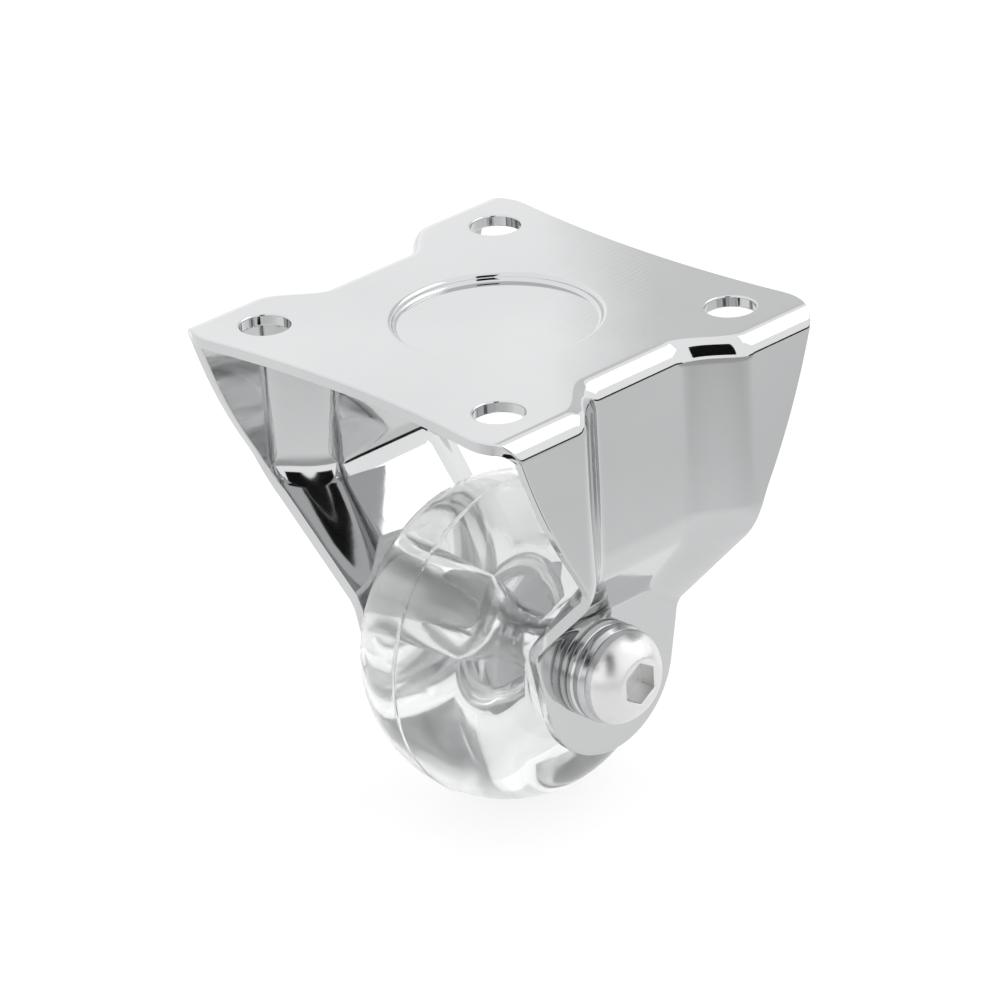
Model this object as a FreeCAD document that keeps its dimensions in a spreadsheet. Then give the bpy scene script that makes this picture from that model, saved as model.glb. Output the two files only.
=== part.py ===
import FreeCAD, Part
import math
import os
import Sketcher

# Fixed castor with a clear 35 mm wheel in a one-piece pressed steel bracket.
# Millimetres. The origin is the centre of the plate's top face, +Z up, the wheel
# rolls along X and turns about Y. The bolt's head is on the -Y side.

V = FreeCAD.Vector
doc = FreeCAD.newDocument("fixed_castor")

# Driving dimensions

sheet = doc.addObject("Spreadsheet::Sheet", "Dims")
SIZES = {
    # pressed sheet
    "sheet_thickness": 1.3,
    "hole_spacing_long": 33.0,
    "hole_spacing_wide": 34.0,
    "plate_hole_diameter": 5.3,
    "plate_waist_half": 21.4,
    "plate_corner_half": 22.75,
    "plate_corner_place": 19.0,
    "plate_corner_bulge": 0.45,
    "bend_radius": 2.4,
    "recess_radius": 10.3,
    "recess_lip": 0.9,
    "recess_depth": 0.75,
    # faces of each leg, as distances from the middle plane
    "panel_face": 20.0,
    "flange_face": 24.2,
    "ear_face": 12.6,
    # the pressed waves between the middle panel and the corner flanges
    "wave_start": 5.6,
    "wave_end": 12.4,
    # the joggle from the upper leg in to the ear
    "fold_drop": 20.8,
    "fold_radius": 3.2,
    "ear_fold_drop_middle": 30.1,
    "ear_fold_drop_side": 32.9,
    "ear_fold_radius": 2.2,
    # the leg's free edges, seen along the axle
    "corner_cut_half": 22.3,
    "taper_top_half": 20.5,
    "taper_end_half": 12.0,
    "taper_end_drop": 19.7,
    "taper_bulge": 0.7,
    "ear_top_half": 10.3,
    "ear_top_drop": 32.7,
    "ear_radius": 9.2,
    "ear_round_below_axle": 0.8,
    "near_ear_shift": 1.35,
    "far_ear_shift": -0.8,
    # axle
    "axle_drop": 36.2,
    "thread_diameter": 6.0,
    "axle_hole_clearance": 0.15,
    "thread_gap": 0.03,
    "bolt_length": 35.0,
    "bolt_tip_chamfer": 0.6,
    "head_diameter": 10.1,
    "head_height": 3.3,
    "head_skirt": 1.0,
    "head_front_diameter": 5.6,
    "socket_flats": 4.0,
    "socket_depth": 2.1,
    "washer_diameter": 10.6,
    "washer_thickness": 1.0,
    "spring_washer_thickness": 1.4,
    "spring_washer_bevel": 0.55,
    "spring_washer_split": 1.0,
    "spring_washer_slant": 20.0,
    "spring_washer_bore_gap": 0.25,
    "nut_flats": 10.0,
    "nut_height": 6.0,
    "nut_hex_height": 4.4,
    "nut_collar_diameter": 9.0,
    "nut_lip": 0.4,
    "insert_diameter": 7.8,
    "insert_height": 1.3,
    # wheel
    "wheel_radius": 17.5,
    "wheel_half_width": 9.1,
    "crown_radius": 13.5,
    "shoulder_radius": 4.5,
    "seam_width": 0.5,
    "seam_height": 0.12,
    "hub_boss_radius": 6.85,
    "hub_end_gap": 0.25,
    "wheel_bore_gap": 0.05,
}
for row, (alias, size) in enumerate(SIZES.items(), start=1):
    sheet.set("A%d" % row, alias)
    sheet.set("B%d" % row, repr(size))
    sheet.setAlias("B%d" % row, alias)
doc.recompute()


def size(alias):
    """A driving dimension as a number."""
    return float(sheet.get(alias))


def value(expression):
    """The number that an expression over the sheet's aliases gives."""
    return float(sheet.evalExpression(expression))


def bind(item, field, expression):
    """Bind one field of a document object to an expression over the aliases."""
    item.setExpression(field, qualified(expression))


def qualified(expression):
    """The expression with each alias written as a cell of the sheet."""
    words = []
    word = ""
    for letter in expression + " ":
        if letter.isalnum() or letter == "_":
            word += letter
            continue
        words.append("Dims." + word if word in SIZES else word)
        words.append(letter)
        word = ""
    return "".join(words).strip()


# Turned parts: a closed profile in a sketch, x outwards from the axle and y along it,
# revolved about the axle. The body then stands at its place on the axle line.

def origin_plane(body, role):
    for feature in body.Origin.OriginFeatures:
        if feature.Role == role:
            return feature
    raise ValueError(role)


def turned_profile(body, vertices, arcs=None):
    """Sketch of straight and round runs through vertices given as expressions.

    arcs maps the index of a run to (radius, side); side is +1 where the run's
    centre lies to the left of its direction, -1 to the right.
    """
    arcs = arcs or {}
    sketch = body.newObject("Sketcher::SketchObject", body.Label + "_profile")
    sketch.AttachmentSupport = (origin_plane(body, "XY_Plane"), [""])
    sketch.MapMode = "FlatFace"
    places = [V(value(x), value(y), 0) for x, y in vertices]
    count = len(places)
    for run in range(count):
        start = places[run]
        end = places[(run + 1) % count]
        if run in arcs:
            radius, side = arcs[run]
            sketch.addGeometry(arc_between(start, end, value(radius), side))
        else:
            sketch.addGeometry(Part.LineSegment(start, end))
    begins = {}
    for run in range(count):
        counterclockwise = run not in arcs or arcs[run][1] > 0
        begins[run] = 1 if counterclockwise else 2
    for run in range(count):
        after = (run + 1) % count
        ends = 3 - begins[run]
        sketch.addConstraint(Sketcher.Constraint("Coincident", run, ends, after, begins[after]))
    for run, (x, y) in enumerate(vertices):
        for kind, expression, axis in (("DistanceX", x, -2), ("DistanceY", y, -1)):
            if expression == "0":
                rule = Sketcher.Constraint("PointOnObject", run, begins[run], axis)
                sketch.addConstraint(rule)
                continue
            rule = Sketcher.Constraint(kind, -1, 1, run, begins[run], value(expression))
            number = sketch.addConstraint(rule)
            bind(sketch, "Constraints[%d]" % number, expression)
    for run, (radius, side) in arcs.items():
        number = sketch.addConstraint(Sketcher.Constraint("Radius", run, value(radius)))
        bind(sketch, "Constraints[%d]" % number, radius)
    return sketch


def arc_between(start, end, radius, side):
    """Arc of the given radius from start to end, its centre on the given side."""
    chord = end - start
    middle = (start + end) * 0.5
    across = V(-chord.y, chord.x, 0) * (side / chord.Length)
    centre = middle + across * math.sqrt(radius ** 2 - (chord.Length / 2) ** 2)
    first = math.atan2(start.y - centre.y, start.x - centre.x)
    last = math.atan2(end.y - centre.y, end.x - centre.x)
    if side < 0:
        first, last = last, first
    return Part.ArcOfCircle(Part.Circle(centre, V(0, 0, 1), radius), first, last)


def turned_body(name, vertices, arcs=None):
    body = doc.addObject("PartDesign::Body", name)
    body.Label = name
    sketch = turned_profile(body, vertices, arcs)
    turn = body.newObject("PartDesign::Revolution", name + "_turned")
    turn.Profile = sketch
    turn.ReferenceAxis = (sketch, ["V_Axis"])
    turn.Angle = 360
    sketch.Visibility = False
    body.Tip = turn
    return body


def set_on_axle(item, along):
    """Move an item's own origin to the axle line, at an expression along Y."""
    bind(item, "Placement.Base.z", "0 - axle_drop")
    bind(item, "Placement.Base.y", along)


def combined(kind, name, base, tool):
    """Boolean of two document objects: Part::Cut, Part::Common or Part::Fuse."""
    result = doc.addObject(kind, name)
    result.Label = name
    result.Base = base
    result.Tool = tool
    return result


# Bracket: one sheet, pressed. A leg's section at each place along X is a path of
# straight runs and bends: plate, bend, upper leg, fold, slope, ear fold, ear.

OVER = 1.0  # how far a cutting shape passes the face that it cuts
WAVE_STEPS = 8
BEND_STEPS = 6


def blend(share):
    """Smooth step from 0 to 1, level at both ends."""
    share = min(max(share, 0.0), 1.0)
    return share * share * (3 - 2 * share)


def strip_half():
    """Half the width of the level strip that joins the two legs' sections."""
    return size("ear_face") / 2


def leg_reach():
    """Depth to which the untrimmed leg runs, past the ear's lowest point."""
    return size("axle_drop") + size("ear_round_below_axle") + size("ear_radius") + OVER


def leg_corners(x):
    """Corners of the outer skin's section at x, as (distance from middle, height)."""
    wave = blend((abs(x) - size("wave_start")) / (size("wave_end") - size("wave_start")))
    face = size("panel_face") + wave * (size("flange_face") - size("panel_face"))
    ear_fold = size("ear_fold_drop_middle")
    ear_fold += wave * (size("ear_fold_drop_side") - ear_fold)
    return [
        (strip_half(), 0.0),
        (face, 0.0),
        (face, -size("fold_drop")),
        (size("ear_face"), -ear_fold),
        (size("ear_face"), -leg_reach()),
    ]


def parallel(corners, inward):
    """The same path moved to its right-hand side, corner by corner."""
    lines = []
    for (y0, z0), (y1, z1) in zip(corners[:-1], corners[1:]):
        length = math.hypot(y1 - y0, z1 - z0)
        ahead = V((y1 - y0) / length, (z1 - z0) / length, 0)
        right = V(ahead.y, -ahead.x, 0)
        lines.append((V(y0, z0, 0) + right * inward, ahead))
    moved = [lines[0][0]]
    for (point, ahead), (other, onward) in zip(lines[:-1], lines[1:]):
        cross = ahead.x * onward.y - ahead.y * onward.x
        gap = other - point
        moved.append(point + ahead * ((gap.x * onward.y - gap.y * onward.x) / cross))
    last, ahead = lines[-1]
    (y0, z0), (y1, z1) = corners[-2:]
    moved.append(last + ahead * math.hypot(y1 - y0, z1 - z0))
    return [(p.x, p.y) for p in moved]


def bent_edges(corners, radii, x, side):
    """Edges of the path with its inner corners rounded, in the plane X = x."""
    points = [V(x, side * y, z) for y, z in corners]
    edges = []
    start = points[0]
    for here, before, after, radius in zip(points[1:-1], points[:-2], points[2:], radii):
        back = (before - here).normalize()
        onward = (after - here).normalize()
        half = back.getAngle(onward) / 2
        reach = radius / math.tan(half)
        inwards = (back + onward).normalize()
        middle = here + inwards * (radius / math.sin(half) - radius)
        edges.append(Part.LineSegment(start, here + back * reach).toShape())
        bend = Part.Arc(here + back * reach, middle, here + onward * reach)
        edges.append(bend.toShape())
        start = here + onward * reach
    edges.append(Part.LineSegment(start, points[-1]).toShape())
    return edges


def closed_wire(edges):
    return Part.Wire(Part.__sortEdges__(edges))


def leg_section(x, side):
    """Closed wire of the sheet's section at x."""
    thick = size("sheet_thickness")
    outer = leg_corners(x)
    inner = parallel(outer, thick)
    bends = [size("bend_radius"), size("fold_radius"), size("ear_fold_radius")]
    inner_bends = [bends[0] - thick, bends[1] - thick, bends[2] + thick]
    edges = bent_edges(outer, bends, x, side)
    back = bent_edges(inner, inner_bends, x, side)
    foot = Part.LineSegment(edges[-1].Vertexes[-1].Point, back[-1].Vertexes[-1].Point)
    head = Part.LineSegment(back[0].Vertexes[0].Point, edges[0].Vertexes[0].Point)
    return closed_wire(edges + [foot.toShape()] + back + [head.toShape()])


def untrimmed_leg(side):
    """The pressed leg before its free edges are cut: level runs and smooth waves."""
    reach = size("plate_corner_half") + OVER
    start = size("wave_start")
    end = size("wave_end")
    wave = [start + (end - start) * k / WAVE_STEPS for k in range(WAVE_STEPS + 1)]
    spans = [(-reach, -end), (-start, start), (end, reach)]
    pieces = []
    for low, high in spans:
        face = Part.Face(leg_section(low, side))
        pieces.append(face.extrude(V(high - low, 0, 0)))
    for direction in (-1, 1):
        sections = [leg_section(direction * x, side) for x in wave]
        pieces.append(Part.makeLoft(sections, True, False))
    return pieces[0].fuse(pieces[1:])


def bulged(start, end, bulge, inside):
    """Arc whose middle stands out from its chord by the bulge, away from inside."""
    along = (end - start).normalize()
    middle = (start + end) * 0.5
    away = middle - inside
    away = (away - along * away.dot(along)).normalize()
    return Part.Arc(start, middle + away * bulge, end).toShape()


def plan_outline():
    """Outline of the plate's level part, with its waisted front and back edges."""
    waist = size("plate_waist_half")
    corner = size("plate_corner_half")
    place = size("plate_corner_place")
    cut = size("corner_cut_half")
    bend = size("flange_face") - size("bend_radius")
    edges = []
    for turn in (-1, 1):
        ends = [V(turn * corner, side * place, 0) for side in (-1, 1)]
        edges.append(Part.Arc(ends[0], V(turn * waist, 0, 0), ends[1]).toShape())
        for side in (-1, 1):
            start = V(turn * corner, side * place, 0)
            end = V(turn * cut, side * bend, 0)
            edges.append(bulged(start, end, size("plate_corner_bulge"), V(0, 0, 0)))
    for side in (-1, 1):
        edges.append(Part.LineSegment(V(-cut, side * bend, 0), V(cut, side * bend, 0)).toShape())
    return closed_wire(edges)


def bend_zone(side):
    """Space that the plate's corner bends keep: its width narrows round the bend."""
    radius = size("bend_radius")
    wide = size("corner_cut_half")
    narrow = size("taper_top_half")
    near = (radius - size("sheet_thickness")) / 2
    far = radius + OVER
    centre = V(0, side * (size("flange_face") - radius), -radius)
    sections = []
    for k in range(BEND_STEPS + 1):
        share = k / BEND_STEPS
        angle = share * math.pi / 2
        half = wide + (narrow - wide) * share
        outwards = V(0, side * math.sin(angle), math.cos(angle))
        low = centre + outwards * near
        high = centre + outwards * far
        corners = [low - V(half, 0, 0), low + V(half, 0, 0)]
        corners += [high + V(half, 0, 0), high - V(half, 0, 0)]
        sections.append(Part.makePolygon(corners + corners[:1]))
    return Part.makeLoft(sections, True, False)


def tangent_from(place, centre, radius, turn):
    """Point where the line from place touches the circle, turn picks the side."""
    line = centre - place
    lean = math.asin(radius / line.Length) * turn
    reach = math.sqrt(line.Length ** 2 - radius ** 2)
    along = V(line.x, line.z, 0).normalize()
    ahead_x = along.x * math.cos(lean) - along.y * math.sin(lean)
    ahead_z = along.x * math.sin(lean) + along.y * math.cos(lean)
    return place + V(ahead_x, 0, ahead_z) * reach


def leg_outline(shift):
    """Outline of a leg seen along the axle, its ear moved along X by the shift."""
    top = -size("bend_radius")
    radius = size("ear_radius")
    centre = V(shift, 0, -size("axle_drop") - size("ear_round_below_axle"))
    tops = {}
    touches = {}
    edges = []
    for turn in (-1, 1):
        upper = V(turn * size("taper_top_half"), 0, top)
        end = V(turn * size("taper_end_half"), 0, -size("taper_end_drop"))
        ear_top = V(shift + turn * size("ear_top_half"), 0, -size("ear_top_drop"))
        touch = tangent_from(ear_top, centre, radius, turn)
        edges.append(bulged(upper, end, size("taper_bulge"), V(0, 0, -size("axle_drop"))))
        edges.append(Part.LineSegment(end, ear_top).toShape())
        edges.append(Part.LineSegment(ear_top, touch).toShape())
        tops[turn] = upper
        touches[turn] = touch
    low = centre - V(0, 0, radius)
    edges.append(Part.Arc(touches[-1], low, touches[1]).toShape())
    edges.append(Part.LineSegment(tops[-1], tops[1]).toShape())
    return closed_wire(edges)


def kept_space():
    """Everything inside the blank's outline, whichever way the sheet is bent there."""
    radius = size("bend_radius")
    wide = size("flange_face") + OVER
    narrow = size("taper_top_half")
    plate = Part.Face(plan_outline()).extrude(V(0, 0, radius + OVER))
    plate.translate(V(0, 0, -radius))
    middle = Part.makeBox(2 * narrow, 2 * wide, radius + OVER, V(-narrow, -wide, -radius))
    spaces = [middle]
    for side, shift in ((-1, "near_ear_shift"), (1, "far_ear_shift")):
        outline = Part.Face(leg_outline(size(shift)))
        spaces.append(outline.extrude(V(0, side * wide, 0)))
        spaces.append(bend_zone(side))
    return plate.fuse(spaces)


def drill(radius, centre, along, reach):
    """Cylinder through the centre that reaches so far to both sides."""
    return Part.makeCylinder(radius, 2 * reach, centre - along * reach, along)


def recess_solid(radius, lip, depth, top):
    """Disc pressed down from the height top, its wall an S of two equal arcs."""
    wide = radius + lip
    curve = (lip ** 2 + depth ** 2) / (4 * depth)
    half_turn = math.atan2(depth, lip)
    along = curve * math.sin(half_turn)
    rise = curve * (1 - math.cos(half_turn))
    foot = V(radius, 0, top - depth)
    half = V((radius + wide) / 2, 0, top - depth / 2)
    rim = V(wide, 0, top)
    edges = [
        Part.LineSegment(V(0, 0, top - depth), foot).toShape(),
        Part.Arc(foot, foot + V(along, 0, rise), half).toShape(),
        Part.Arc(half, rim - V(along, 0, rise), rim).toShape(),
        Part.LineSegment(rim, V(0, 0, top)).toShape(),
        Part.LineSegment(V(0, 0, top), V(0, 0, top - depth)).toShape(),
    ]
    face = Part.Face(closed_wire(edges))
    return face.revolve(V(0, 0, 0), V(0, 0, 1), 360)


def plate_holes():
    radius = size("plate_hole_diameter") / 2
    reach = size("sheet_thickness") + OVER
    along_x = size("hole_spacing_long") / 2
    along_y = size("hole_spacing_wide") / 2
    holes = []
    for turn in (-1, 1):
        for side in (-1, 1):
            place = V(turn * along_x, side * along_y, 0)
            holes.append(drill(radius, place, V(0, 0, 1), reach))
    return holes


def pressed_bracket():
    thick = size("sheet_thickness")
    reach = size("plate_corner_half") + OVER
    corner = V(-reach, -strip_half(), -thick)
    strip = Part.makeBox(2 * reach, 2 * strip_half(), thick, corner)
    blank = strip.fuse([untrimmed_leg(-1), untrimmed_leg(1)])
    trimmed = blank.common(kept_space())
    radius = size("recess_radius")
    lip = size("recess_lip")
    depth = size("recess_depth")
    boss = recess_solid(radius + thick / 2, lip, depth, -thick)
    bolt_radius = size("thread_diameter") / 2 + size("axle_hole_clearance")
    axle = V(0, 0, -size("axle_drop"))
    tools = [recess_solid(radius, lip, depth, 0)]
    tools += plate_holes()
    tools.append(drill(bolt_radius, axle, V(0, 1, 0), size("ear_face") + OVER))
    return trimmed.fuse(boss).cut(tools).removeSplitter()


bracket = doc.addObject("Part::Feature", "bracket")
bracket.Label = "bracket"
bracket.Shape = pressed_bracket()
bracket.Placement = FreeCAD.Placement()

# Wheel: one clear moulding with the mould's thin seam round its middle. Crown and
# shoulders are tangent arcs. The hub's bosses reach close to the ears, and its plain
# bore turns on the bolt's shank.

HUB_REACH = "(ear_face - sheet_thickness - hub_end_gap)"
NEAR_FACE = "(%s - wheel_half_width)" % HUB_REACH
FAR_FACE = "(%s + wheel_half_width)" % HUB_REACH
SHOULDER_AXIAL = "(wheel_half_width - shoulder_radius)"
ARC_GAP = "(crown_radius - shoulder_radius)"
SHOULDER_OUT = "sqrt(%s ^ 2 - %s ^ 2)" % (ARC_GAP, SHOULDER_AXIAL)
SHOULDER_PLACE = "(wheel_radius - crown_radius + %s)" % SHOULDER_OUT
TOUCH_OUT = "(wheel_radius - crown_radius + %s * crown_radius / %s)" % (SHOULDER_OUT, ARC_GAP)
TOUCH_AXIAL = "(%s * crown_radius / %s)" % (SHOULDER_AXIAL, ARC_GAP)
SEAM_HALF = "(seam_width / 2)"
SEAM_FOOT = "(wheel_radius - crown_radius + sqrt(crown_radius ^ 2 - %s ^ 2))" % SEAM_HALF
WHEEL_BORE = "(thread_diameter / 2 + wheel_bore_gap)"
wheel = turned_body(
    "wheel",
    [
        ("hub_boss_radius", NEAR_FACE),
        (SHOULDER_PLACE, NEAR_FACE),
        (TOUCH_OUT, "%s - %s" % (HUB_REACH, TOUCH_AXIAL)),
        (SEAM_FOOT, "%s - %s" % (HUB_REACH, SEAM_HALF)),
        ("wheel_radius + seam_height", HUB_REACH),
        (SEAM_FOOT, "%s + %s" % (HUB_REACH, SEAM_HALF)),
        (TOUCH_OUT, "%s + %s" % (HUB_REACH, TOUCH_AXIAL)),
        (SHOULDER_PLACE, FAR_FACE),
        ("hub_boss_radius", FAR_FACE),
        ("hub_boss_radius", "2 * " + HUB_REACH),
        (WHEEL_BORE, "2 * " + HUB_REACH),
        (WHEEL_BORE, "0"),
        ("hub_boss_radius", "0"),
    ],
    {
        1: ("shoulder_radius", 1),
        2: ("crown_radius", 1),
        5: ("crown_radius", 1),
        6: ("shoulder_radius", 1),
    },
)
set_on_axle(wheel, "0 - " + HUB_REACH)

# Bolt: button head with a hexagon socket, the shank is the axle.

HEAD_FRONT = "(ear_face + washer_thickness + spring_washer_thickness + head_height)"
turned_bolt = turned_body(
    "bolt_blank",
    [
        ("0", "0"),
        ("head_front_diameter / 2", "0"),
        ("head_diameter / 2", "head_height - head_skirt"),
        ("head_diameter / 2", "head_height"),
        ("thread_diameter / 2", "head_height"),
        ("thread_diameter / 2", "head_height + bolt_length - bolt_tip_chamfer"),
        ("thread_diameter / 2 - bolt_tip_chamfer", "head_height + bolt_length"),
        ("0", "head_height + bolt_length"),
    ],
    {1: ("head_diameter / 2", 1)},
)
set_on_axle(turned_bolt, "0 - " + HEAD_FRONT)
socket = doc.addObject("Part::Prism", "hex_socket")
socket.Polygon = 6
bind(socket, "Circumradius", "socket_flats / sqrt(3)")
bind(socket, "Height", "2 * socket_depth")
socket.Placement.Rotation = FreeCAD.Rotation(V(1, 0, 0), -90)
set_on_axle(socket, "0 - socket_depth - " + HEAD_FRONT)
bolt = combined("Part::Cut", "axle_bolt", turned_bolt, socket)

# Washers: two alike, one under the spring washer and one under the nut, and a split
# spring washer under the bolt's head.

WASHER_BORE = "(thread_diameter / 2 + 2 * axle_hole_clearance)"
washers = []
for name, along in (
    ("near_washer", "0 - ear_face - washer_thickness"),
    ("far_washer", "ear_face"),
):
    washer = turned_body(
        name,
        [
            (WASHER_BORE, "0"),
            ("washer_diameter / 2", "0"),
            ("washer_diameter / 2", "washer_thickness"),
            (WASHER_BORE, "washer_thickness"),
        ],
    )
    set_on_axle(washer, along)
    washers.append(washer)
flat_washers = doc.addObject("Part::Compound", "flat_washers")
flat_washers.Label = "flat_washers"
flat_washers.Links = washers

SPRING_BORE = "(thread_diameter / 2 + spring_washer_bore_gap)"
whole_ring = turned_body(
    "spring_ring",
    [
        (SPRING_BORE, "0"),
        ("washer_diameter / 2 - spring_washer_bevel", "0"),
        ("washer_diameter / 2", "spring_washer_bevel"),
        ("washer_diameter / 2", "spring_washer_thickness"),
        (SPRING_BORE, "spring_washer_thickness"),
    ],
)
SPRING_PLACE = "0 - ear_face - washer_thickness - spring_washer_thickness"
set_on_axle(whole_ring, SPRING_PLACE)
split = doc.addObject("Part::Box", "spring_split")
bind(split, "Length", "washer_diameter")
bind(split, "Width", "3 * spring_washer_thickness")
bind(split, "Height", "spring_washer_split")
split.Placement.Rotation = FreeCAD.Rotation(V(1, 0, 0), size("spring_washer_slant"))
bind(split, "Placement.Base.z", "0 - axle_drop - spring_washer_split")
bind(split, "Placement.Base.y", SPRING_PLACE + " - spring_washer_thickness")
spring_washer = combined("Part::Cut", "spring_washer", whole_ring, split)

# Lock nut: hexagon with a rolled collar that holds a plastic ring.

NUT_START = "(ear_face + washer_thickness)"
nut_hexagon = doc.addObject("Part::Prism", "nut_hexagon")
nut_hexagon.Polygon = 6
bind(nut_hexagon, "Circumradius", "nut_flats / sqrt(3)")
bind(nut_hexagon, "Height", "nut_height")
nut_hexagon.Placement.Rotation = FreeCAD.Rotation(V(1, 0, 0), -90)
set_on_axle(nut_hexagon, NUT_START)
NUT_BORE = "(thread_diameter / 2 + thread_gap)"
NUT_POINT = "nut_flats / sqrt(3)"
NUT_CHAMFER = "((%s - nut_flats / 2) / 2)" % NUT_POINT
INSERT_END = "nut_height - nut_lip"
INSERT_START = "nut_height - nut_lip - insert_height"
nut_turned = turned_body(
    "nut_turned",
    [
        (NUT_BORE, "0"),
        ("nut_flats / 2", "0"),
        (NUT_POINT, NUT_CHAMFER),
        (NUT_POINT, "nut_hex_height - " + NUT_CHAMFER),
        ("nut_flats / 2", "nut_hex_height"),
        ("nut_collar_diameter / 2", "nut_hex_height"),
        ("nut_collar_diameter / 2", INSERT_END),
        ("nut_collar_diameter / 2 - nut_lip", "nut_height"),
        ("insert_diameter / 2 - nut_lip", "nut_height"),
        ("insert_diameter / 2 - nut_lip", INSERT_END),
        ("insert_diameter / 2", INSERT_END),
        ("insert_diameter / 2", INSERT_START),
        (NUT_BORE, INSERT_START),
    ],
)
set_on_axle(nut_turned, NUT_START)
lock_nut = combined("Part::Common", "lock_nut", nut_turned, nut_hexagon)

insert = turned_body(
    "lock_nut_insert",
    [
        (NUT_BORE, "0"),
        ("insert_diameter / 2", "0"),
        ("insert_diameter / 2", "insert_height"),
        (NUT_BORE, "insert_height"),
    ],
)
set_on_axle(insert, "%s + %s" % (NUT_START, INSERT_START))

doc.recompute()

# Every object has to be sound before a file is written.

PIECES = [
    "bracket",
    "wheel",
    "axle_bolt",
    "flat_washers",
    "spring_washer",
    "lock_nut",
    "lock_nut_insert",
]
for item in doc.Objects:
    if "Invalid" in item.State or "Error" in item.State:
        raise ValueError("%s is not sound: %s" % (item.Label, item.State))

os.makedirs("parts", exist_ok=True)
for name in PIECES:
    shape = doc.getObjectsByLabel(name)[0].Shape
    if shape.isNull() or not shape.isValid():
        raise ValueError("%s has no valid shape" % name)
    print("%s: %d solid(s), %.1f cubic mm" % (name, len(shape.Solids), shape.Volume))
    shape.exportStep("parts/%s.step" % name)
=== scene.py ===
import math

import bpy
import numpy as np
from mathutils import Matrix, Vector
from mathutils.geometry import delaunay_2d_cdt


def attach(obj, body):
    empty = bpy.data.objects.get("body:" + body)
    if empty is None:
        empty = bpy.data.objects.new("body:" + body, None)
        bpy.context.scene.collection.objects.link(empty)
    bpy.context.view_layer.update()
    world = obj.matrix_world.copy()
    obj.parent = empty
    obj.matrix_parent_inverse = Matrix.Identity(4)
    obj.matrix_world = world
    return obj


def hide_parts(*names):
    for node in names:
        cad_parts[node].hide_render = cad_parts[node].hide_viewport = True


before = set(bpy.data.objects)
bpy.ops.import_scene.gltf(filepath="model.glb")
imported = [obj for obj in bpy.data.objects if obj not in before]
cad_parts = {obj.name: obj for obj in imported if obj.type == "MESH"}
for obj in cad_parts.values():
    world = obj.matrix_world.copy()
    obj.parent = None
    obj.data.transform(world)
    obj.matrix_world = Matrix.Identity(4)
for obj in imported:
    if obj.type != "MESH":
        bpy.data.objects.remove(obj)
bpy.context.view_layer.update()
scene = bpy.context.scene


# Bracket. One blank of 1.3 mm mild steel: screw holes and the round recess are pressed
# in the plate, then both legs are bent down and joggled in to the ears that hold the
# axle. Bright nickel and chromium are plated over every face and sheared edge.

SHEET = 1.3
SHEARED_EDGE_ROUND = 0.2
PANEL_FACE = 20.0
FLANGE_FACE = 24.2
EAR_FACE = 12.6
WAVE_START = 5.6
WAVE_END = 12.4
FOLD_DROP = 20.8
EAR_FOLD_DROP_MIDDLE = 30.1
EAR_FOLD_DROP_SIDE = 32.9
LEG_END_DROP = 48.0
LEG_BEND_RADII = (2.4, 6.5, 2.2)
LEG_RUN_STEPS = (12, 24, 10, 16, 12)
ACROSS_LEG = np.linspace(-1.0, 1.0, 97)
TRIAL_HALF = 20.0
TRIM_ROUNDS = 40
CORNER_CUT_HALF = 22.3
TAPER_TOP = (20.5, -2.4)
TAPER_END = (12.0, -19.7)
TAPER_BOW = 0.7
CORNER_EASE = 3.5
EAR_TOP = (10.3, -32.7)
EAR_RADIUS = 9.2
EAR_CENTRE_DROP = 37.0
EAR_SHIFTS = {-1: 1.35, 1: -0.8}
WAIST_HALF = 22.75
WAIST_END = 19.0
WAIST_BOW = 1.35
CORNER_BOW = 0.45
WAIST_EASE = 1.8
WAIST_EASE_STEPS = 40


def leg_corners(x):
    """Corners of a leg's outer section at x, as (distance from the middle, height).

    The leg's face stands at the panel's distance in the middle and at the flange's near
    the free edges, with a smooth step 3 s^2 - 2 s^3 between; so does the ear's fold.
    """
    share = np.clip((np.abs(x) - WAVE_START) / (WAVE_END - WAVE_START), 0.0, 1.0)
    wave = share * share * (3 - 2 * share)
    level = np.zeros_like(x)
    face = PANEL_FACE + wave * (FLANGE_FACE - PANEL_FACE)
    ear_fold = EAR_FOLD_DROP_MIDDLE + wave * (EAR_FOLD_DROP_SIDE - EAR_FOLD_DROP_MIDDLE)
    corners = (
        (level + EAR_FACE / 2, level),
        (face, level),
        (face, level - FOLD_DROP),
        (level + EAR_FACE, -ear_fold),
        (level + EAR_FACE, level - LEG_END_DROP),
    )
    return np.stack([np.stack(corner, axis=-1) for corner in corners], axis=-2)


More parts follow.
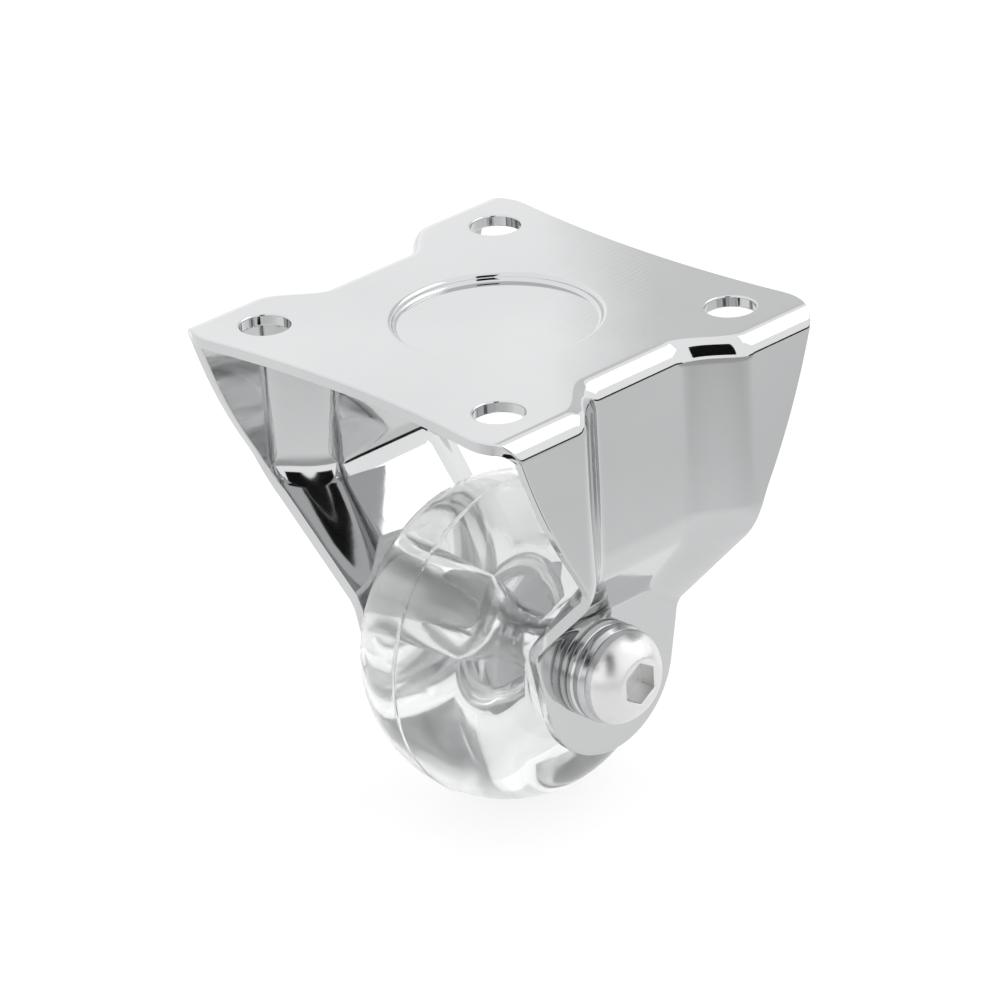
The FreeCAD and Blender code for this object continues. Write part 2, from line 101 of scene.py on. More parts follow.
def leg_section(x, run, share, depth):
    """Points and unit directions of one run of the section, at a share of its length.

    Runs 0, 2 and 4 are bends: centre + radius * slerp(start, end). Runs 1 and 3 are the
    straights between them. The depth moves the path square to itself, into the sheet.
    """
    corners = leg_corners(x)
    bends = {}
    for k, radius in enumerate(LEG_BEND_RADII, start=1):
        here = corners[..., k, :]
        back = corners[..., k - 1, :] - here
        ahead = corners[..., k + 1, :] - here
        back /= np.linalg.norm(back, axis=-1, keepdims=True)
        ahead /= np.linalg.norm(ahead, axis=-1, keepdims=True)
        half = np.arccos(np.sum(back * ahead, axis=-1, keepdims=True)) / 2
        middle = (back + ahead) / np.linalg.norm(back + ahead, axis=-1, keepdims=True)
        centre = here + middle * radius / np.sin(half)
        start = here + back * radius / np.tan(half)
        end = here + ahead * radius / np.tan(half)
        bends[2 * k - 2] = (centre, start, end, math.pi - 2 * half, radius)
    share = share[..., None]
    if run in bends:
        centre, start, end, turn, radius = bends[run]
        first = (start - centre) / radius
        last = (end - centre) / radius
        reach = first * np.sin((1 - share) * turn) + last * np.sin(share * turn)
        onward = last * np.cos(share * turn) - first * np.cos((1 - share) * turn)
        points = centre + radius * reach / np.sin(turn)
        ahead = onward / np.sin(turn)
    else:
        start = bends[run - 1][2]
        end = bends[run + 1][1]
        points = start + (end - start) * share
        ahead = (end - start) / np.linalg.norm(end - start, axis=-1, keepdims=True)
        ahead = ahead + np.zeros_like(points)
    outwards = np.stack([-ahead[..., 1], ahead[..., 0]], axis=-1)
    return points - depth * outwards, ahead


def leg_skin(x, run, share, side, depth):
    """Points and normals of a leg's skin: the normal is the cross product of the two
    directions on it, (1, dy/dx, dz/dx) and the section's own (0, y', z')."""
    points, ahead = leg_section(x, run, share, depth)
    step = 1e-4
    ahead_of_x = leg_section(x + step, run, share, depth)[0]
    behind_x = leg_section(x - step, run, share, depth)[0]
    slope = (ahead_of_x - behind_x) / (2 * step)
    normals = np.stack([
        slope[..., 0] * ahead[..., 1] - slope[..., 1] * ahead[..., 0],
        -side * ahead[..., 1],
        ahead[..., 0],
    ], axis=-1)
    normals /= np.linalg.norm(normals, axis=-1, keepdims=True)
    return np.stack([x, side * points[..., 0], points[..., 1]], axis=-1), normals


def bowed(start, end, bow, steps):
    """Points on the circle's arc from start to end whose middle stands out by the bow,
    to the left of its direction: R = (c^2 / 4 + b^2) / (2 b)."""
    start = np.array(start, float)
    chord = np.array(end, float) - start
    length = np.linalg.norm(chord)
    radius = (length ** 2 / 4 + bow ** 2) / (2 * bow)
    angle = np.linspace(-1, 1, steps)[:, None] * math.asin(length / 2 / radius)
    ahead = chord / length
    left = np.array([-ahead[1], ahead[0]])
    rise = radius * np.cos(angle) - radius + bow
    return start + chord / 2 + ahead * radius * np.sin(angle) + left * rise


def ear_touch():
    """Where the line down from the ear's top corner touches its round, for no shift: the
    way to the centre is turned by asin(R / d) and followed for sqrt(d^2 - R^2)."""
    line = np.array([-EAR_TOP[0], -EAR_CENTRE_DROP - EAR_TOP[1]])
    length = np.linalg.norm(line)
    lean = math.asin(EAR_RADIUS / length)
    turn = np.array([[math.cos(lean), -math.sin(lean)], [math.sin(lean), math.cos(lean)]])
    return np.array(EAR_TOP) + turn @ line / length * math.sqrt(length ** 2 - EAR_RADIUS ** 2)


def free_edge(height, turn, shift):
    """x of a leg's free edge at a height.

    The edge is a bowed taper, a straight run in to the ear's top corner, and the line
    from there that touches the ear's round. The corner between the first two is eased by
    the curve (1-s)^2 a + 2 s (1-s) b + s^2 c.
    """
    taper = bowed(TAPER_TOP, TAPER_END, TAPER_BOW, 81)
    taper = taper[taper[:, 1] > TAPER_END[1] + CORNER_EASE] * [turn, 1]
    corner = np.array([turn * TAPER_END[0], TAPER_END[1]])
    ear_top = np.array([turn * EAR_TOP[0] + shift, EAR_TOP[1]])
    below = corner + (ear_top - corner) * CORNER_EASE / (TAPER_END[1] - EAR_TOP[1])
    share = np.linspace(0, 1, 30)[1:-1, None]
    eased = (1 - share) ** 2 * taper[-1] + 2 * share * (1 - share) * corner + share ** 2 * below
    touch = ear_touch() * [turn, 1] + [shift, 0]
    edge = np.vstack([taper, eased, below, ear_top, touch])[::-1]
    return np.interp(height, edge[:, 1], edge[:, 0])


def pressed_leg(side):
    """Both skins of a leg above its ear, as an array (rows, columns, 4, 3).

    The four entries are the outer point and normal and the inner point and normal. Each
    row is one share of the section, and its columns lie evenly between the free edges.
    An edge's x depends on the height and the height on x, so the trim is found by turns.
    """
    shift = EAR_SHIFTS[side]
    rows = []
    for run, steps in enumerate(LEG_RUN_STEPS):
        share = np.linspace(0, 1, steps + 1)[min(run, 1):, None]
        x = TRIAL_HALF * ACROSS_LEG[None, :] + 0 * share
        share = share + 0 * x
        for _ in range(TRIM_ROUNDS):
            if run == 0:
                right = CORNER_CUT_HALF + share * (TAPER_TOP[0] - CORNER_CUT_HALF)
                left = -right
            else:
                height = leg_section(x, run, share, 0.0)[0][..., 1]
                right = free_edge(height, 1, shift)
                left = free_edge(height, -1, shift)
            x = (right + left) / 2 + ACROSS_LEG * (right - left) / 2
        outer, outer_normals = leg_skin(x, run, share, side, 0.0)
        inner, inner_normals = leg_skin(x, run, share, side, SHEET)
        rows.append(np.stack([outer, outer_normals, inner, -inner_normals], axis=-2))
    return np.concatenate(rows)


def flat_skins(places, lay, outwards, level):
    """Both skins of a flat part of the sheet from plan places, with their normals.

    The lay puts a place in space at a level along the outward direction, and the inner
    skin lies one sheet's thickness behind the outer one.
    """
    outwards = np.array(outwards, float)
    outer = lay(places, level)
    inner = lay(places, level - SHEET)
    return np.stack([outer, outer * 0 + outwards, inner, outer * 0 - outwards], axis=-2)


def on_plate(places, level):
    """Plan places (x, y) laid at the height z = level."""
    return np.stack([places[:, 0], places[:, 1], level + 0 * places[:, 0]], axis=-1)


def on_near_ear(places, level):
    """Plan places (x, z) laid at y = -level."""
    return np.stack([places[:, 0], -level + 0 * places[:, 0], places[:, 1]], axis=-1)


def on_far_ear(places, level):
    """Plan places (x, z) laid at y = level."""
    return np.stack([places[:, 0], level + 0 * places[:, 0], places[:, 1]], axis=-1)


def ear_outline(side, start, end):
    """Plan of an ear below its fold, from its right-hand edge round to its left: a
    straight, the circle's arc c + R (cos a, sin a) between the touches, a straight."""
    shift = EAR_SHIFTS[side]
    touch = ear_touch()
    angle = math.atan2(touch[1] + EAR_CENTRE_DROP, touch[0])
    turn = np.linspace(angle, -math.pi - angle, 97)[:, None]
    circle = EAR_RADIUS * np.hstack([np.cos(turn), np.sin(turn)]) + [shift, -EAR_CENTRE_DROP]
    share = np.linspace(0, 1, 18)[1:-1, None]
    right = start + (circle[0] - start) * share
    left = circle[-1] + (end - circle[-1]) * share
    return np.vstack([right, circle, left])


def plate_edge(turn):
    """Plan of the plate's edge at one end of X, from the near bend to the far one.

    Three arcs, the middle one bowed in. Their joints are eased by an average whose
    weights are exp(-(d / ease)^2), over the edge continued past both its ends.
    """
    bend = FLANGE_FACE - LEG_BEND_RADII[0]
    ends = [
        (CORNER_CUT_HALF, -bend), (WAIST_HALF, -WAIST_END),
        (WAIST_HALF, WAIST_END), (CORNER_CUT_HALF, bend),
    ]
    bows = (-CORNER_BOW, WAIST_BOW, -CORNER_BOW)
    arcs = [bowed(start, end, bow, 60) for start, end, bow in zip(ends, ends[1:], bows)]
    path = np.vstack(arcs)
    y = np.linspace(-bend, bend, 241)
    x = np.interp(y, path[:, 1], path[:, 0])
    most = WAIST_EASE_STEPS
    reach = np.arange(-most, most + 1)
    weight = np.exp(-(reach * (y[1] - y[0]) / WAIST_EASE) ** 2)
    before = 2 * x[0] - x[most:0:-1]
    after = 2 * x[-1] - x[-2:-most - 2:-1]
    beyond = np.concatenate([before, x, after])
    x = np.convolve(beyond, weight / weight.sum(), "valid")
    return np.stack([turn * x, y], axis=-1)[1:-1]


def sheared_rim(loop):
    """The sheet's cut edge along a closed loop of skin points, its two arrises rounded.

    Sideways is normal x direction. The arris is centre + r (n cos a + sideways sin a).
    Returns the loop drawn in to where the arris begins, and the rim's patch.
    """
    drawn = loop.copy()
    rows = []
    outer_skin = (0, 1, 1, 1)
    inner_skin = (2, 3, -1, -1)
    for point, normal, hand, order in (outer_skin, inner_skin):
        ahead = np.roll(loop[:, point], -1, axis=0) - np.roll(loop[:, point], 1, axis=0)
        sideways = hand * np.cross(loop[:, normal], ahead)
        sideways /= np.linalg.norm(sideways, axis=-1, keepdims=True)
        r = SHEARED_EDGE_ROUND
        centre = loop[:, point] - r * sideways - r * loop[:, normal]
        drawn[:, point] = loop[:, point] - r * sideways
        for angle in np.linspace(0, math.pi / 2, 6)[::order]:
            way = loop[:, normal] * math.cos(angle) + sideways * math.sin(angle)
            place = drawn[:, point] if angle == 0 else centre + r * way
            rows.append((place, way))
    points = np.stack([row[0] for row in rows])
    ways = np.stack([row[1] for row in rows])
    return drawn, wrapped(points, ways)


def grid_faces(rows, columns, closed):
    """Triangles of a grid, two to each cell, its last column joined to its first where
    it is closed."""
    number = np.arange(rows * columns).reshape(rows, columns)
    after = np.roll(number, -1, axis=1)
    if not closed:
        number, after = number[:, :-1], after[:, :-1]
    a, b = number[:-1].ravel(), after[:-1].ravel()
    c, d = after[1:].ravel(), number[1:].ravel()
    return np.vstack([np.stack([a, b, c], axis=-1), np.stack([a, c, d], axis=-1)])


def wrapped(points, normals, closed=True):
    """A patch from a grid of points: its points, normals and triangles."""
    faces = grid_faces(points.shape[0], points.shape[1], closed)
    return points.reshape(-1, 3), normals.reshape(-1, 3), faces


def flat_patch(loops, axes, normal):
    """Flat patch inside the first loop and outside the others, on its two plan axes.

    A constrained Delaunay triangulation of the loops; its triangles that stand on three
    points of one hole are dropped.
    """
    points = np.vstack(loops)
    edges = []
    start = 0
    for loop in loops:
        count = len(loop)
        edges += [(start + k, start + (k + 1) % count) for k in range(count)]
        start += count
    plan = [Vector(place) for place in points[:, axes].tolist()]
    result = delaunay_2d_cdt(plan, edges, [], 2, 1e-9)
    own = np.array([number[0] for number in result[3]])
    faces = own[np.array(result[2])]
    of_loop = np.repeat(np.arange(len(loops)), [len(loop) for loop in loops])[faces]
    one_loop = (of_loop[:, 0] == of_loop[:, 1]) & (of_loop[:, 1] == of_loop[:, 2])
    faces = faces[~(one_loop & (of_loop[:, 0] > 0))]
    return points, np.tile(np.array(normal, float), (len(points), 1)), faces


def circle_plan(radius, centre, steps=96):
    """Plan places on a circle: centre + radius (cos a, sin a)."""
    turn = np.linspace(0, 2 * math.pi, steps, endpoint=False)
    return np.array(centre) + radius * np.stack([np.cos(turn), np.sin(turn)], axis=-1)


def welded_piece(name, patches):
    """One closed mesh from patches in millimetres, with its own smooth normals.

    Points that coincide become one and share the sum of their normals. A patch whose
    triangles turn against its normals is turned round.
    """
    points, normals, faces = [], [], []
    start = 0
    for patch_points, patch_normals, patch_faces in patches:
        corner = patch_points[patch_faces]
        turn = np.cross(corner[:, 1] - corner[:, 0], corner[:, 2] - corner[:, 0])
        if np.sum(turn * patch_normals[patch_faces[:, 0]]) < 0:
            patch_faces = patch_faces[:, ::-1]
        points.append(patch_points)
        normals.append(patch_normals)
        faces.append(patch_faces + start)
        start += len(patch_points)
    points, normals, faces = np.vstack(points), np.vstack(normals), np.vstack(faces)
    places = np.round(points * 1e5).astype(np.int64)
    _, first, own = np.unique(places, axis=0, return_index=True, return_inverse=True)
    own = own.ravel()
    shared = np.zeros((len(first), 3))
    np.add.at(shared, own, normals)
    shared /= np.maximum(np.linalg.norm(shared, axis=1, keepdims=True), 1e-12)
    faces = own[faces]
    whole = np.all(faces != np.roll(faces, 1, axis=1), axis=1)
    faces = faces[whole]
    mesh = bpy.data.meshes.new(name)
    mesh.from_pydata((points[first] * 0.001).tolist(), [], faces.tolist())
    mesh.update()
    mesh.shade_smooth()
    mesh.normals_split_custom_set_from_vertices(shared.tolist())
    piece = bpy.data.objects.new(name, mesh)
    scene.collection.objects.link(piece)
    return piece


near_leg = pressed_leg(-1)
far_leg = pressed_leg(1)
near_plan = ear_outline(-1, near_leg[-1, -1, 0, [0, 2]], near_leg[-1, 0, 0, [0, 2]])
far_plan = ear_outline(1, far_leg[-1, -1, 0, [0, 2]], far_leg[-1, 0, 0, [0, 2]])
near_ear = flat_skins(near_plan, on_near_ear, (0, -1, 0), EAR_FACE)
far_ear = flat_skins(far_plan, on_far_ear, (0, 1, 0), EAR_FACE)
left_edge = flat_skins(plate_edge(-1), on_plate, (0, 0, 1), 0.0)
right_edge = flat_skins(plate_edge(1), on_plate, (0, 0, 1), 0.0)

# All the blank's outer edges in one loop: down the near leg, round its ear and up again,
# along the plate, down and up the far leg, and back along the plate.
outline = [
    near_leg[:, -1], near_ear, near_leg[::-1, 0], left_edge,
    far_leg[:, 0], far_ear[::-1], far_leg[::-1, -1], right_edge[::-1],
]
drawn, rim = sheared_rim(np.concatenate(outline))
ends = np.cumsum([len(part) for part in outline])
(
    near_leg[:, -1], near_ear, near_left, left_edge,
    far_leg[:, 0], far_ear, far_right, right_edge,
) = np.split(drawn, ends[:-1])
near_leg[:, 0] = near_left[::-1]
far_leg[:, -1] = far_right[::-1]
patches = [rim]
for leg in (near_leg, far_leg):
    patches.append(wrapped(leg[:, :, 0], leg[:, :, 1], closed=False))
    patches.append(wrapped(leg[:, :, 2], leg[:, :, 3], closed=False))

AXLE_DROP = 36.2
AXLE_HOLE_RADIUS = 3.15
axle_hole = circle_plan(AXLE_HOLE_RADIUS, (0.0, -AXLE_DROP))
near_side = (near_leg, near_ear, on_near_ear, -1)
far_side = (far_leg, far_ear[::-1], on_far_ear, 1)
for leg, ear, lay, side in (near_side, far_side):
    hole = flat_skins(axle_hole[::-side], lay, (0, side, 0), EAR_FACE)
    hole, rim = sheared_rim(hole)
    patches.append(rim)
    for point, way in ((0, side), (2, -side)):
        loop = np.vstack([leg[-1, :, point], ear[:, point]])
        patches.append(flat_patch([loop, hole[:, point]], (0, 2), (0, way, 0)))

SCREW_HOLE_RADIUS = 2.65
SCREW_HOLE_PLACES = [(x, y) for x in (-16.5, 16.5) for y in (-17.0, 17.0)]
screw_holes = []
for place in SCREW_HOLE_PLACES:
    circle = circle_plan(SCREW_HOLE_RADIUS, place, 64)
    hole, rim = sheared_rim(flat_skins(circle, on_plate, (0, 0, 1), 0.0))
    screw_holes.append(hole)
    patches.append(rim)

RECESS_RADIUS = 10.3
RECESS_LIP = 0.9
RECESS_DEPTH = 0.75


def pressed_disc(radius, top, way):
    """Round recess: a level disc and an S of two equal arcs up to the sheet's face.

    R = (lip^2 + depth^2) / (4 depth); way is +1 for the top skin, -1 for the lower one.
    Returns the patch and the loop where it meets the sheet.
    """
    bend = (RECESS_LIP ** 2 + RECESS_DEPTH ** 2) / (4 * RECESS_DEPTH)
    angle = np.linspace(0, 2 * math.atan2(RECESS_DEPTH, RECESS_LIP), 9)
    out = radius + bend * np.sin(angle)
    up = top - RECESS_DEPTH + bend * (1 - np.cos(angle))
    rest_out = 2 * radius + RECESS_LIP - out[::-1]
    rest_up = 2 * top - RECESS_DEPTH - up[::-1]
    r = np.concatenate([[0.0], out, rest_out[1:]])[:, None]
    z = np.concatenate([[top - RECESS_DEPTH], up, rest_up[1:]])[:, None]
    lean = way * np.concatenate([[0.0], angle, angle[::-1][1:]])[:, None]
    turn = np.linspace(0, 2 * math.pi, 192, endpoint=False)[None, :]
    points = np.stack([r * np.cos(turn), r * np.sin(turn), z + 0 * turn], axis=-1)
    inwards = -np.sin(lean)
    upwards = way * np.cos(lean) + 0 * turn
    normals = np.stack([inwards * np.cos(turn), inwards * np.sin(turn), upwards], axis=-1)
    return wrapped(points, normals), points[-1]


top_skin = (0, 1, 0.0, RECESS_RADIUS)
under_skin = (2, -1, -SHEET, RECESS_RADIUS + SHEET / 2)
for point, way, top, radius in (top_skin, under_skin):
    disc, rim_loop = pressed_disc(radius, top, way)
    patches.append(disc)
    loop = np.vstack([
        near_leg[0, ::-1, point], left_edge[:, point],
        far_leg[0, :, point], right_edge[:, point],
    ])
    holes = [hole[:, point] for hole in screw_holes]
    patches.append(flat_patch([loop] + holes + [rim_loop], (0, 1), (0, 0, way)))

bracket = welded_piece("pressed_bracket", patches)


def finish_material(name):
    """New material, its Principled shader and its node tree."""
    material = bpy.data.materials.new(name)
    material.use_nodes = True
    return material, material.node_tree.nodes["Principled BSDF"], material.node_tree


def noise_value(tree, scale, stretch=(1.0, 1.0, 1.0), detail=3.0, distortion=0.0):
    """Fractal noise of the piece's own coordinates times (stretch x scale): a small
    stretch draws it out along that axis."""
    place = tree.nodes.new("ShaderNodeTexCoord")
    mapping = tree.nodes.new("ShaderNodeMapping")
    mapping.inputs["Scale"].default_value = stretch
    noise = tree.nodes.new("ShaderNodeTexNoise")
    noise.inputs["Scale"].default_value = scale
    noise.inputs["Detail"].default_value = detail
    noise.inputs["Distortion"].default_value = distortion
    tree.links.new(place.outputs["Object"], mapping.inputs["Vector"])
    tree.links.new(mapping.outputs["Vector"], noise.inputs["Vector"])
    return noise.outputs["Fac"]


def ranged(tree, value, low, high, start=0.3, end=0.7):
    """low + (value - start) / (end - start) (high - low), held between low and high."""
    spread = tree.nodes.new("ShaderNodeMapRange")
    spread.inputs["From Min"].default_value = start
    spread.inputs["From Max"].default_value = end
    spread.inputs["To Min"].default_value = low
    spread.inputs["To Max"].default_value = high
    tree.links.new(value, spread.inputs["Value"])
    return spread.outputs["Result"]


def relief(tree, shader, layers):
    """Bumps one over another, each tilting the normal by its height's slope: a layer is
    (height value, height in metres)."""
    before = None
    for height, depth in layers:
        bump = tree.nodes.new("ShaderNodeBump")
        bump.inputs["Distance"].default_value = depth
        tree.links.new(height, bump.inputs["Height"])
        if before is not None:
            tree.links.new(before, bump.inputs["Normal"])
        before = bump.outputs["Normal"]
    tree.links.new(before, shader.inputs["Normal"])


def tinted(tree, value, dark, light):
    """dark (1 - value) + light value."""
    mix = tree.nodes.new("ShaderNodeMix")
    mix.data_type = "RGBA"
    mix.inputs["A"].default_value = (*dark, 1.0)
    mix.inputs["B"].default_value = (*light, 1.0)
    tree.links.new(value, mix.inputs["Factor"])
    return mix.outputs["Result"]


def polishing_rings(tree):
    """Fine, wandering rings that the polishing wheel leaves: a sine of the distance from
    the plate's middle, bent by noise, times a patchy mask."""
    place = tree.nodes.new("ShaderNodeTexCoord")
    rings = tree.nodes.new("ShaderNodeTexWave")
    rings.wave_type = "RINGS"
    rings.inputs["Scale"].default_value = 420.0
    rings.inputs["Distortion"].default_value = 9.0
    rings.inputs["Detail"].default_value = 2.0
    rings.inputs["Detail Scale"].default_value = 0.35
    tree.links.new(place.outputs["Object"], rings.inputs["Vector"])
    masked = tree.nodes.new("ShaderNodeMath")
    masked.operation = "MULTIPLY"
    mask = ranged(tree, noise_value(tree, 90.0), 0.0, 1.0, 0.45, 0.65)
    tree.links.new(rings.outputs["Fac"], masked.inputs[0])
    tree.links.new(mask, masked.inputs[1])
    return masked.outputs["Value"]


def clouded(tree, shader, cloud_scale, dark, light, haze, low, high):
    """Colour that drifts from dark to light, and roughness from low to high, by noise."""
    cloud = ranged(tree, noise_value(tree, cloud_scale), 0.0, 1.0)
    tree.links.new(tinted(tree, cloud, dark, light), shader.inputs["Base Color"])
    tree.links.new(ranged(tree, haze, low, high), shader.inputs["Roughness"])


MICRON = 1e-6
CHROME_DARK = (0.53, 0.535, 0.54)
CHROME_LIGHT = (0.58, 0.585, 0.59)
chrome, shader, tree = finish_material("chrome_plating")
shader.inputs["Metallic"].default_value = 1.0
smudges = noise_value(tree, 70.0, detail=5.0)
clouded(tree, shader, 35.0, CHROME_DARK, CHROME_LIGHT, smudges, 0.035, 0.085)
press_ripple = noise_value(tree, 55.0, detail=1.0)
orange_peel = noise_value(tree, 480.0, detail=2.0)
draw_lines = noise_value(tree, 900.0, (1.0, 1.0, 0.03))
relief(tree, shader, [
    (press_ripple, 60 * MICRON),
    (orange_peel, 4 * MICRON),
    (polishing_rings(tree), 1.2 * MICRON),
    (draw_lines, 1.2 * MICRON),
])
bracket.data.materials.append(chrome)
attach(bracket, "fork")
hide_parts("bracket")


# Wheel. One clear polyurethane moulding that runs on the bolt by its own plain bore. The
# two halves of the mould meet in a thin seam round the tread, and the hub's bosses reach
# close to the ears.

WHEEL_RADIUS = 17.5
WHEEL_HALF_WIDTH = 9.1
CROWN_RADIUS = 13.5
SHOULDER_RADIUS = 4.5
SEAM_HEIGHT = 0.06
SEAM_SPREAD = 0.14
SEAM_BAND = 0.6
CROWN_START = 0.7
BOSS_RADIUS = 6.85
BOSS_REACH = 11.05
WHEEL_BORE_RADIUS = 3.05
BOSS_ROOT_ROUND = 1.0
BOSS_END_ROUND = 0.85
BORE_MOUTH_ROUND = 0.2


def rounded_path(corners, radii, steps=7):
    """Path through corners (r, y), each rounded by its radius: rows (r, y, nr, ny).

    A round is centre + radius slerp(start, end). Normals point to the right of the
    direction. A corner whose radius is 0 is either an end or two coinciding rows, one
    with each neighbour's normal.
    """
    corners = np.array(corners, float)
    rows = []
    for k, here in enumerate(corners):
        ways = []
        for start, end in ((k - 1, k), (k, k + 1)):
            if 0 <= start and end < len(corners):
                way = corners[end] - corners[start]
                ways.append(way / np.linalg.norm(way))
        if radii[k] == 0:
            rows += [[here[0], here[1], way[1], -way[0]] for way in ways]
            continue
        back, ahead = -ways[0], ways[1]
        half = math.acos(back @ ahead) / 2
        middle = (back + ahead) / np.linalg.norm(back + ahead)
        centre = here + middle * radii[k] / math.sin(half)
        first = (here + back * radii[k] / math.tan(half) - centre) / radii[k]
        last = (here + ahead * radii[k] / math.tan(half) - centre) / radii[k]
        turn = math.pi - 2 * half
        hand = -1.0 if back[0] * ahead[1] - back[1] * ahead[0] > 0 else 1.0
        share = np.linspace(0, 1, steps)[:, None]
        reach = first * np.sin((1 - share) * turn) + last * np.sin(share * turn)
        reach /= math.sin(turn)
        rows += np.hstack([centre + radii[k] * reach, hand * reach]).tolist()
    return np.array(rows)


def turned(profile, steps=256):
    """Patch of a profile carried round the axle: (r cos a, y, r sin a) from the axle."""
    r, y, r_way, y_way = (profile[:, k, None] for k in range(4))
    turn = np.linspace(0, 2 * math.pi, steps, endpoint=False)[None, :]
    points = np.stack([r * np.cos(turn), y + 0 * turn, r * np.sin(turn) - AXLE_DROP], axis=-1)
    normals = np.stack([r_way * np.cos(turn), y_way + 0 * turn, r_way * np.sin(turn)], axis=-1)
    return wrapped(points, normals)


def wheel_profile():
    """Half section of the wheel: the crown's arc r = c + sqrt(R^2 - y^2) with the seam
    h exp(-(y / w)^2) on it, shoulder arcs tangent to the crown, and the hub's path."""
    across = WHEEL_HALF_WIDTH - SHOULDER_RADIUS
    out = math.sqrt((CROWN_RADIUS - SHOULDER_RADIUS) ** 2 - across ** 2)
    place = WHEEL_RADIUS - CROWN_RADIUS + out
    touch = across * CROWN_RADIUS / (CROWN_RADIUS - SHOULDER_RADIUS)
    y = np.concatenate([
        np.linspace(-touch, -CROWN_START, 32),
        np.linspace(-SEAM_BAND, SEAM_BAND, 33),
        np.linspace(CROWN_START, touch, 32),
    ])
    crown = np.sqrt(CROWN_RADIUS ** 2 - y ** 2)
    seam = SEAM_HEIGHT * np.exp(-(y / SEAM_SPREAD) ** 2)
    slope = -y / crown - 2 * y / SEAM_SPREAD ** 2 * seam
    lean = np.sqrt(1 + slope ** 2)
    r = WHEEL_RADIUS - CROWN_RADIUS + crown + seam
    tread = np.stack([r, y, 1 / lean, -slope / lean], axis=-1)
    angle = np.linspace(math.atan2(across, out), math.pi / 2, 28)[1:]
    c, s = np.cos(angle), np.sin(angle)
    far = np.stack([place + SHOULDER_RADIUS * c, across + SHOULDER_RADIUS * s, c, s], axis=-1)
    near = far[::-1] * [1, -1, 1, -1]
    hub = [
        (place, WHEEL_HALF_WIDTH), (BOSS_RADIUS, WHEEL_HALF_WIDTH),
        (BOSS_RADIUS, BOSS_REACH), (WHEEL_BORE_RADIUS, BOSS_REACH),
        (WHEEL_BORE_RADIUS, -BOSS_REACH), (BOSS_RADIUS, -BOSS_REACH),
        (BOSS_RADIUS, -WHEEL_HALF_WIDTH), (place, -WHEEL_HALF_WIDTH),
    ]
    rounds = [BOSS_ROOT_ROUND, BOSS_END_ROUND, BORE_MOUTH_ROUND]
    hub_path = rounded_path(hub, [0, *rounds, *rounds[::-1], 0], 15)
    return np.vstack([near, tread, far, hub_path])


wheel = welded_piece("clear_wheel", [turned(wheel_profile(), 320)])
CLEAR_TINT = (0.84, 0.85, 0.85, 1.0)
clear, shader, tree = finish_material("clear_polyurethane")
shader.inputs["Base Color"].default_value = CLEAR_TINT
shader.inputs["IOR"].default_value = 1.5
shader.inputs["Transmission Weight"].default_value = 0.9
wiped_haze = noise_value(tree, 110.0, detail=2.0)
tree.links.new(ranged(tree, wiped_haze, 0.03, 0.075), shader.inputs["Roughness"])
sink_marks = noise_value(tree, 120.0, (1.0, 0.4, 1.0), detail=2.0)
mould_lines = noise_value(tree, 300.0, (1.0, 0.1, 1.0), detail=1.0)
relief(tree, shader, [(sink_marks, 8 * MICRON), (mould_lines, 0.5 * MICRON)])
wheel.data.materials.append(clear)
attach(wheel, "wheel")
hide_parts("wheel")


# Axle bolt. A button-head screw of nickel-plated steel with a hexagon socket: its plain
# shank carries the wheel, and a rolled M6 thread at the far end takes the nut.

HEAD_FRONT = -18.3
HEAD_HEIGHT = 3.3
HEAD_RADIUS = 5.05
HEAD_FLAT_RADIUS = 2.8
HEAD_SKIRT = 1.0
SOCKET_FLAT_HALF = 2.0
SOCKET_DEPTH = 2.1
SOCKET_LIP = 0.14
SOCKET_ARRIS = 0.02
SOCKET_FLOOR_ROUND = 0.08
HEAD_FLAT_EASE = 0.12
SKIRT_ROUND = 0.35
UNDERHEAD_ROUND = 0.2
SHANK_RADIUS = 3.0
SHANK_END = 20.0
TIP_CHAMFER = 0.6
THREAD_START = 12.2
THREAD_PITCH = 1.0
THREAD_DEPTH = 0.5
THREAD_RUN_IN = 1.5


def sector_angles(steps):
    """Angles of six equal sectors, k pi / 3 + steps within +-pi / 6, that lie close
    together at the hexagon's corners."""
    sixth = math.pi / 6
    inner = np.linspace(-0.97, 0.97, steps) * sixth
    sector = np.concatenate([[-0.99 * sixth], inner, [0.99 * sixth, sixth]])
    return np.concatenate([sector + k * math.pi / 3 for k in range(6)])


def hexagon(turn):
    """Distance of a hexagon's side at an angle, for a flat half of 1, and the angle of
    that side's own normal: the distance is 1 / cos of the angle from that normal."""
    middle = np.round(turn / (math.pi / 3)) * math.pi / 3
    return 1 / np.cos(turn - middle), middle


def round_rows(rows, turn):
    """Patch from rows (r, y, nr, ny, angle of the normal) whose r may change with the
    angle: (r cos a, y, r sin a) from the axle."""
    points, normals = [], []
    for r, y, r_way, y_way, lean in rows:
        points.append([r * np.cos(turn), y + 0 * turn, r * np.sin(turn) - AXLE_DROP])
        normals.append([r_way * np.cos(lean), y_way + 0 * turn, r_way * np.sin(lean)])
    return wrapped(np.array(points).transpose(0, 2, 1), np.array(normals).transpose(0, 2, 1))


